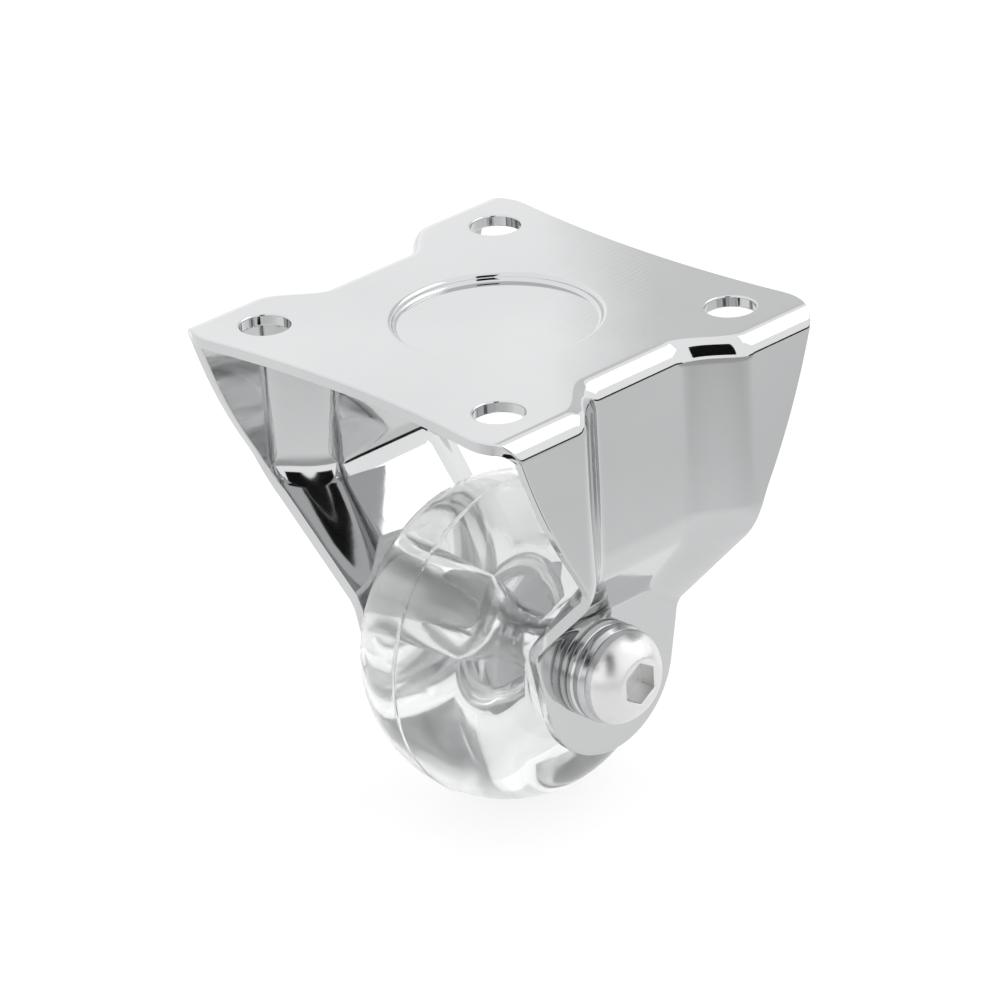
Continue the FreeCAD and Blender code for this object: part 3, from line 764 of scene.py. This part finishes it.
turn = sector_angles(22)
side, side_middle = hexagon(turn)
hex_radius = SOCKET_FLAT_HALF * side
mouth_radius = hex_radius + SOCKET_LIP
socket_floor = HEAD_FRONT + SOCKET_DEPTH
socket_rows = [
    (0 * turn, socket_floor, 0.0, -1.0, turn),
    (hex_radius - SOCKET_FLOOR_ROUND, socket_floor, 0.0, -1.0, turn),
    (hex_radius, socket_floor - SOCKET_FLOOR_ROUND, -1.0, 0.0, side_middle),
    (hex_radius, HEAD_FRONT + SOCKET_LIP + SOCKET_ARRIS, -1.0, 0.0, side_middle),
    (hex_radius + SOCKET_ARRIS, HEAD_FRONT + SOCKET_LIP - SOCKET_ARRIS, -0.7, -0.7, side_middle),
    (mouth_radius - SOCKET_ARRIS, HEAD_FRONT + SOCKET_ARRIS, -0.7, -0.7, side_middle),
    (mouth_radius, HEAD_FRONT, 0.0, -1.0, turn),
    (0 * turn + HEAD_FLAT_RADIUS - HEAD_FLAT_EASE, HEAD_FRONT, 0.0, -1.0, turn),
]


def head_profile():
    """Rows (r, y, nr, ny) from the flat's rim back: the dome's arc, whose radius is the
    head's, the skirt, the bearing face and the shank."""
    skirt_start = HEAD_FRONT + HEAD_HEIGHT - HEAD_SKIRT
    start = np.array([HEAD_FLAT_RADIUS, HEAD_FRONT])
    end = np.array([HEAD_RADIUS, skirt_start])
    length = np.linalg.norm(end - start)
    bow = HEAD_RADIUS - math.sqrt(HEAD_RADIUS ** 2 - length ** 2 / 4)
    dome = bowed(end, start, bow, 25)[::-1]
    chord = (end - start) / length
    centre = (start + end) / 2 + np.array([-chord[1], chord[0]]) * (HEAD_RADIUS - bow)
    ways = (dome - centre) / HEAD_RADIUS
    rim = [HEAD_FLAT_RADIUS - HEAD_FLAT_EASE, HEAD_FRONT, 0.0, -1.0]
    skirt = [
        (HEAD_RADIUS, skirt_start), (HEAD_RADIUS, HEAD_FRONT + HEAD_HEIGHT),
        (SHANK_RADIUS, HEAD_FRONT + HEAD_HEIGHT), (SHANK_RADIUS, THREAD_START),
    ]
    skirt_path = rounded_path(skirt, [0, SKIRT_ROUND, UNDERHEAD_ROUND, 0])
    return np.vstack([rim, np.hstack([dome, ways])[1:-1], skirt_path])


def thread_patches(turn):
    """Rolled thread and the tip's level face.

    r = R - d (1 - cos(2 pi y / pitch - a)) / 2, where d grows over the run-in, cut down
    by the chamfer's cone at the tip.
    """
    y = np.linspace(THREAD_START, SHANK_END, 180)[:, None]
    ramp = np.clip((y - THREAD_START) / THREAD_RUN_IN, 0, 1)
    phase = 2 * math.pi * y / THREAD_PITCH - turn
    wave = THREAD_DEPTH * ramp / 2
    r = SHANK_RADIUS - wave * (1 - np.cos(phase))
    along = -wave * np.sin(phase) * 2 * math.pi / THREAD_PITCH
    around = wave * np.sin(phase) / r
    chamfer = SHANK_RADIUS - np.maximum(y - SHANK_END + TIP_CHAMFER, 0) + 0 * turn
    cut = chamfer < r
    r = np.where(cut, chamfer, r)
    along = np.where(cut, -1.0, along)
    around = np.where(cut, 0.0, around)
    normals = np.stack([
        np.cos(turn) + around * np.sin(turn),
        -along,
        np.sin(turn) - around * np.cos(turn),
    ], axis=-1)
    normals /= np.linalg.norm(normals, axis=-1, keepdims=True)
    points = np.stack([r * np.cos(turn), y + 0 * turn, r * np.sin(turn) - AXLE_DROP], axis=-1)
    tip = np.stack([points[-1], points[-1] * [0, 1, 0] + [0, 0, -AXLE_DROP]])
    tip_ways = np.zeros_like(tip) + [0.0, 1.0, 0.0]
    return [wrapped(points, normals), wrapped(tip, tip_ways)]


head_rows = [(0 * turn + r, y, r_way, y_way, turn) for r, y, r_way, y_way in head_profile()]
head_patches = [round_rows(socket_rows, turn), round_rows(head_rows, turn)]
bolt = welded_piece("button_head_bolt", head_patches + thread_patches(turn))
NICKEL_DARK = (0.66, 0.66, 0.66)
NICKEL_LIGHT = (0.76, 0.76, 0.755)
satin_nickel, shader, tree = finish_material("nickel_plating")
shader.inputs["Metallic"].default_value = 1.0
barrel_haze = noise_value(tree, 350.0, detail=4.0)
clouded(tree, shader, 200.0, NICKEL_DARK, NICKEL_LIGHT, barrel_haze, 0.27, 0.4)
forging_dimples = noise_value(tree, 600.0, detail=3.0)
plating_grain = noise_value(tree, 3000.0, detail=2.0)
relief(tree, shader, [(forging_dimples, 8 * MICRON), (plating_grain, 1 * MICRON)])
bolt.data.materials.append(satin_nickel)
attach(bolt, "fork")
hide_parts("axle_bolt")


# Flat washers. Two punched rings of plated steel, one between the near ear and the
# spring washer and one between the far ear and the nut.

WASHER_RADIUS = 5.3
WASHER_BORE_RADIUS = 3.3
WASHER_THICKNESS = 1.0
WASHER_ROUNDS = [0.12, 0.42, 0.3, 0.1]


def ring_profile(bore, radius, start, end, rounds):
    """Closed profile of a ring with four rounded corners, from the middle of its bore
    round and back, with the air to the right of its way."""
    middle = (start + end) / 2
    corners = [
        (bore, middle), (bore, start), (radius, start),
        (radius, end), (bore, end), (bore, middle),
    ]
    return rounded_path(corners, [0, *rounds, 0], 5)


near_ring = ring_profile(
    WASHER_BORE_RADIUS, WASHER_RADIUS, -EAR_FACE - WASHER_THICKNESS, -EAR_FACE, WASHER_ROUNDS)
far_ring = ring_profile(
    WASHER_BORE_RADIUS, WASHER_RADIUS, EAR_FACE, EAR_FACE + WASHER_THICKNESS, WASHER_ROUNDS[::-1])
washers = welded_piece("plated_washers", [turned(near_ring, 160), turned(far_ring, 160)])
BRIGHT_DARK = (0.55, 0.55, 0.55)
BRIGHT_LIGHT = (0.66, 0.66, 0.655)
bright, shader, tree = finish_material("bright_plating")
shader.inputs["Metallic"].default_value = 1.0
barrel_haze = noise_value(tree, 400.0, detail=4.0)
clouded(tree, shader, 220.0, BRIGHT_DARK, BRIGHT_LIGHT, barrel_haze, 0.1, 0.22)
relief(tree, shader, [(noise_value(tree, 900.0, detail=3.0), 8 * MICRON)])
washers.data.materials.append(bright)
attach(washers, "fork")
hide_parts("flat_washers")


# Spring washer. A ring coiled from bevelled spring-steel wire and cut through at a
# slant, pressed flat between the bolt's head and the near flat washer.

SPRING_START = -15.0
SPRING_END = -13.6
SPRING_BORE_RADIUS = 3.25
SPRING_BEVEL = 0.55
SPLIT_SLANT = math.radians(20.0)
SPLIT_WIDTH = 1.0
SPLIT_CORNER = (-16.4, -1.0)
SPRING_ROUNDS = [0, 0.12, 0.5, 0.35, 0.4, 0.12, 0]


def split_ring(profile, steps):
    """Ring carried from one slanted face of its split round to the other.

    At (r, y) the split's faces lie at heights z0 + y tan(slant) and a width above, so
    the angles there are asin(height / r).
    """
    r, y, r_way, y_way = (profile[:, k, None] for k in range(4))
    low = SPLIT_CORNER[1] + (y - SPLIT_CORNER[0]) * math.tan(SPLIT_SLANT)
    high = low + SPLIT_WIDTH / math.cos(SPLIT_SLANT)
    start = np.arcsin(high / r)
    end = 2 * math.pi + np.arcsin(low / r)
    turn = start + (end - start) * np.linspace(0, 1, steps)[None, :]
    points = np.stack([r * np.cos(turn), y + 0 * turn, r * np.sin(turn) - AXLE_DROP], axis=-1)
    normals = np.stack([r_way * np.cos(turn), y_way + 0 * turn, r_way * np.sin(turn)], axis=-1)
    found = [wrapped(points, normals, closed=False)]
    lean = np.array([0.0, math.sin(SPLIT_SLANT), -math.cos(SPLIT_SLANT)])
    for column, way in ((0, lean), (-1, -lean)):
        loop = points[:-1, column]
        found.append(flat_patch([loop], (0, 1), way))
    return found


spring_middle = (SPRING_START + SPRING_END) / 2
spring_corners = [
    (SPRING_BORE_RADIUS, spring_middle), (SPRING_BORE_RADIUS, SPRING_START),
    (WASHER_RADIUS - SPRING_BEVEL, SPRING_START), (WASHER_RADIUS, SPRING_START + SPRING_BEVEL),
    (WASHER_RADIUS, SPRING_END), (SPRING_BORE_RADIUS, SPRING_END),
    (SPRING_BORE_RADIUS, spring_middle),
]
spring_profile = rounded_path(spring_corners, SPRING_ROUNDS, 7)
spring = welded_piece("split_spring_washer", split_ring(spring_profile, 220))
ZINC_DARK = (0.4, 0.41, 0.42)
ZINC_LIGHT = (0.55, 0.56, 0.57)
spring_steel, shader, tree = finish_material("zinc_plated_spring_steel")
shader.inputs["Metallic"].default_value = 1.0
passivation_haze = noise_value(tree, 500.0, detail=4.0)
clouded(tree, shader, 260.0, ZINC_DARK, ZINC_LIGHT, passivation_haze, 0.14, 0.3)
relief(tree, shader, [(noise_value(tree, 1400.0, detail=3.0), 4 * MICRON)])
spring.data.materials.append(spring_steel)
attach(spring, "fork")
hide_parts("spring_washer")


# Lock nut. An M6 hexagon of plated steel, chamfered at both ends, with a collar that is
# rolled in over a ring of nylon. It is screwed up against the far flat washer.

NUT_START = 13.6
NUT_HEX_END = 18.0
NUT_END = 19.6
NUT_FLAT_HALF = 5.0
NUT_BORE_RADIUS = 3.03
COLLAR_RADIUS = 4.5
NYLON_RADIUS = 3.9
NYLON_START = 17.9
NYLON_END = 19.2
LIP_RADIUS = 3.5
FACE_STEP_IN = 0.02
CONE_ANGLE_WAYS = (0.6, 0.8)
NYLON_ROUND = 0.05


def nut_hexagon(turn):
    """Rows of the hexagon: r is the smaller of its side's distance and a cone's radius,
    which opens at both ends from the flat's half to the corner's distance."""
    side, middle = hexagon(turn)
    full = NUT_FLAT_HALF * side
    point = NUT_FLAT_HALF / math.cos(math.pi / 6)
    height = NUT_HEX_END - NUT_START
    depth = (point - NUT_FLAT_HALF) / 2
    rise = np.concatenate([np.linspace(0, depth, 12), np.linspace(height - depth, height, 12)])
    out_way, up_way = CONE_ANGLE_WAYS
    rows = []
    for up in rise:
        near_end = up <= depth
        from_end = up if near_end else height - up
        cone = NUT_FLAT_HALF + from_end * (point - NUT_FLAT_HALF) / depth
        on_cone = cone < full
        r = np.minimum(full, cone)
        y_way = np.where(on_cone, -up_way if near_end else up_way, 0.0)
        r_way = np.where(on_cone, out_way, 1.0)
        rows.append((r, NUT_START + up, r_way, y_way, np.where(on_cone, turn, middle)))
    return rows


collar_and_bore = [
    ((NUT_FLAT_HALF - FACE_STEP_IN, NUT_HEX_END), 0),
    ((COLLAR_RADIUS, NUT_HEX_END), 0.15),
    ((COLLAR_RADIUS, NUT_END), 0.4),
    ((LIP_RADIUS, NUT_END), 0.12),
    ((LIP_RADIUS, NYLON_END), 0),
    ((NYLON_RADIUS, NYLON_END), 0),
    ((NYLON_RADIUS, NYLON_START), 0),
    ((NUT_BORE_RADIUS, NYLON_START), 0),
    ((NUT_BORE_RADIUS, NUT_START), 0.3),
    ((NUT_FLAT_HALF - FACE_STEP_IN, NUT_START), 0),
]
front = rounded_path(*zip(*collar_and_bore), 7)
nut_rows = nut_hexagon(turn)
nut_rows += [(0 * turn + r, y, r_way, y_way, turn) for r, y, r_way, y_way in front]
nut_rows.append(nut_rows[0])
nut = welded_piece("lock_nut_body", [round_rows(nut_rows, turn)])
nut.data.materials.append(bright)
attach(nut, "fork")
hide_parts("lock_nut")


# Nylon ring. A washer of moulded nylon under the nut's rolled lip, whose bore is smaller
# than the thread until the bolt is turned in and presses its own thread in it.

NYLON_DARK = (0.7, 0.71, 0.7)
NYLON_LIGHT = (0.8, 0.81, 0.8)
nylon_profile = ring_profile(
    NUT_BORE_RADIUS, NYLON_RADIUS, NYLON_START, NYLON_END, [NYLON_ROUND] * 4)
nylon_ring = welded_piece("nylon_ring", [turned(nylon_profile, 128)])
nylon, shader, tree = finish_material("moulded_nylon")
shader.inputs["Subsurface Weight"].default_value = 0.2
shader.inputs["Subsurface Scale"].default_value = 0.001
clouded(tree, shader, 400.0, NYLON_DARK, NYLON_LIGHT, noise_value(tree, 900.0), 0.35, 0.55)
relief(tree, shader, [(noise_value(tree, 2200.0, detail=2.0), 4 * MICRON)])
nylon_ring.data.materials.append(nylon)
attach(nylon_ring, "fork")
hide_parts("lock_nut_insert")


# Studio. A pale floor under a white sky, which glows evenly but for painted shade: its glow is
# dimmed towards the front and the right, where the chrome mirrors it. Cards that the camera
# doesn't see are what the chrome mirrors: a soft light at the right, a grey wall behind and dark
# ones in front, and a black sheet of painted shade beside the bracket.

scene.view_settings.view_transform = "Standard"
scene.view_settings.look = "None"
scene.cycles.max_bounces = 24
scene.cycles.glossy_bounces = 16
scene.cycles.transmission_bounces = 20
SKY_STRENGTH = 1.3
world = bpy.data.worlds.new("white_sky")
scene.world = world
world.use_nodes = True
world.node_tree.nodes["Background"].inputs["Color"].default_value = (1.0, 1.0, 1.0, 1.0)
world.node_tree.nodes["Background"].inputs["Strength"].default_value = SKY_STRENGTH


def staged(name, corners, color, glow):
    """Flat four-sided stage piece through its corners, matt, with light of its own."""
    mesh = bpy.data.meshes.new(name)
    mesh.from_pydata(corners, [], [(0, 1, 2, 3)])
    piece = bpy.data.objects.new(name, mesh)
    scene.collection.objects.link(piece)
    paint, shader, tree = finish_material(name + "_paint")
    shader.inputs["Base Color"].default_value = (color, color, color, 1.0)
    shader.inputs["Emission Color"].default_value = (1.0, 1.0, 1.0, 1.0)
    shader.inputs["Emission Strength"].default_value = glow
    shader.inputs["Roughness"].default_value = 0.9
    shader.inputs["Specular IOR Level"].default_value = 0.0
    mesh.materials.append(paint)
    return piece, shader, tree


def unseen_card(name, corners, color, glow):
    """Stage piece that mirrors show and the camera doesn't, and that casts no shadow."""
    card, shader, tree = staged(name, corners, color, glow)
    card.visible_camera = False
    card.visible_shadow = False
    return shader, tree


def facing_card(name, way, distance, width, height, color, glow, aside=0.0):
    """Card turned to face the plate: middle = distance x way + aside x across, and its
    corners lie half a width across and half a height upright from there."""
    way = Vector(way).normalized()
    across = way.cross(Vector((0.0, 0.0, 1.0))).normalized() * width / 2
    upright = across.cross(way).normalized() * height / 2
    middle = way * distance + across.normalized() * aside
    signs = ((-1, -1), (1, -1), (1, 1), (-1, 1))
    corners = [tuple(middle + a * across + b * upright) for a, b in signs]
    return unseen_card(name, corners, color, glow)


def ramped_glow(shader, tree, *ramps):
    """Glow that is the product of ramps, each (way, low, high, start, end): low up to
    the start, then changing evenly along the way to high at the end."""
    place = tree.nodes.new("ShaderNodeTexCoord")
    glow = None
    for way, low, high, start, end in ramps:
        along = tree.nodes.new("ShaderNodeVectorMath")
        along.operation = "DOT_PRODUCT"
        along.inputs[1].default_value = way
        tree.links.new(place.outputs["Object"], along.inputs[0])
        ramp = ranged(tree, along.outputs["Value"], low, high, start, end)
        if glow is not None:
            product = tree.nodes.new("ShaderNodeMath")
            product.operation = "MULTIPLY"
            tree.links.new(glow, product.inputs[0])
            tree.links.new(ramp, product.inputs[1])
            ramp = product.outputs["Value"]
        glow = ramp
    tree.links.new(glow, shader.inputs["Emission Strength"])


FLOOR_HALF = 2.0
FLOOR_GREY = 0.2
FLOOR_GLOW = 0.82
# Painted shade: the floor's glow is dimmed towards the front and towards the right, where the
# chrome mirrors the floor, to stand for the floor in shade.
FRONT_PAINTED_SHADE = ((-0.684, -0.73, 0.0), FLOOR_GLOW, 0.38, 0.055, 0.16)
RIGHT_PAINTED_SHADE = ((0.4, -0.92, 0.0), 1.0, 0.75, 0.055, 0.105)
low = (-AXLE_DROP - WHEEL_RADIUS - SEAM_HEIGHT) * 0.001
signs = ((-1, -1), (1, -1), (1, 1), (-1, 1))
floor_corners = [(a * FLOOR_HALF, b * FLOOR_HALF, low) for a, b in signs]
floor, shader, tree = staged("floor", floor_corners, FLOOR_GREY, FLOOR_GLOW)
ramped_glow(shader, tree, FRONT_PAINTED_SHADE, RIGHT_PAINTED_SHADE)

SOFTBOX_WAY = (0.66, -0.24, 0.66)
DOORWAY_WAY = (-0.4, -0.62, 0.55)
TABLE_EDGE_WAY = (0.617, -0.76, -0.02)
WALL_WAY = (0.617, 0.659, 0.428)
WALL_SHADE = ((0.729, -0.685, 0.0), 1.3, 0.9, 0.01, 0.03)
# Painted shade: a black sheet beside the plate's end at -X, at the height of the legs' folds,
# which the camera doesn't see and which casts no shadow. The chrome legs mirror it as dark shade.
SHADE_CARD_PLAN = ((-0.032, -0.025), (-0.021, -0.025), (-0.021, -0.0196), (-0.032, -0.0075))
SHADE_CARD_HEIGHT = -0.02
facing_card("side_softbox", SOFTBOX_WAY, 0.8, 0.62, 0.55, 0.5, 1.9)
facing_card("dark_doorway", DOORWAY_WAY, 0.75, 0.26, 0.75, 0.01, 0.0)
facing_card("table_edge", TABLE_EDGE_WAY, 0.8, 1.0, 0.08, 0.02, 0.0)
unseen_card("painted_shade_card", [(x, y, SHADE_CARD_HEIGHT) for x, y in SHADE_CARD_PLAN], 0.01, 0.0)
shader, tree = facing_card("grey_wall", WALL_WAY, 0.5, 0.35, 0.3, 0.0, 1.3, 0.187)
ramped_glow(shader, tree, WALL_SHADE)


# Camera. The photograph's viewing angle, from a fit to the plate's holes and edges: it
# stands at the front left, above the plate, and leans a little to the left.

CAMERA_AZIMUTH = math.radians(-43.22107855)
CAMERA_ELEVATION = math.radians(25.34108284)
CAMERA_ROLL = math.radians(-3.30852)
CAMERA_DISTANCE = 0.631943
PIXELS_PER_METRE = 9830.0
ORIGIN_PIXEL = (497.15283, 315.46372)
IMAGE_SIZE = 1000
SENSOR_WIDTH = 36.0

back = Vector((
    math.sin(CAMERA_AZIMUTH) * math.cos(CAMERA_ELEVATION),
    -math.cos(CAMERA_AZIMUTH) * math.cos(CAMERA_ELEVATION),
    math.sin(CAMERA_ELEVATION),
))
level_right = Vector((math.cos(CAMERA_AZIMUTH), math.sin(CAMERA_AZIMUTH), 0.0))
level_up = back.cross(level_right)
right = math.cos(CAMERA_ROLL) * level_right + math.sin(CAMERA_ROLL) * level_up
up = -math.sin(CAMERA_ROLL) * level_right + math.cos(CAMERA_ROLL) * level_up
aside = (ORIGIN_PIXEL[0] - IMAGE_SIZE / 2) / PIXELS_PER_METRE
above = -(ORIGIN_PIXEL[1] - IMAGE_SIZE / 2) / PIXELS_PER_METRE
camera = bpy.data.cameras.new("camera")
camera.sensor_width = SENSOR_WIDTH
camera.lens = PIXELS_PER_METRE * CAMERA_DISTANCE / IMAGE_SIZE * SENSOR_WIDTH
camera.clip_start = 0.01
camera.clip_end = 10.0
camera_mount = bpy.data.objects.new("camera", camera)
camera_mount.rotation_mode = "QUATERNION"
camera_mount.rotation_quaternion = Matrix((right, up, back)).transposed().to_quaternion()
camera_mount.location = CAMERA_DISTANCE * back - aside * right - above * up
scene.collection.objects.link(camera_mount)
scene.camera = camera_mount
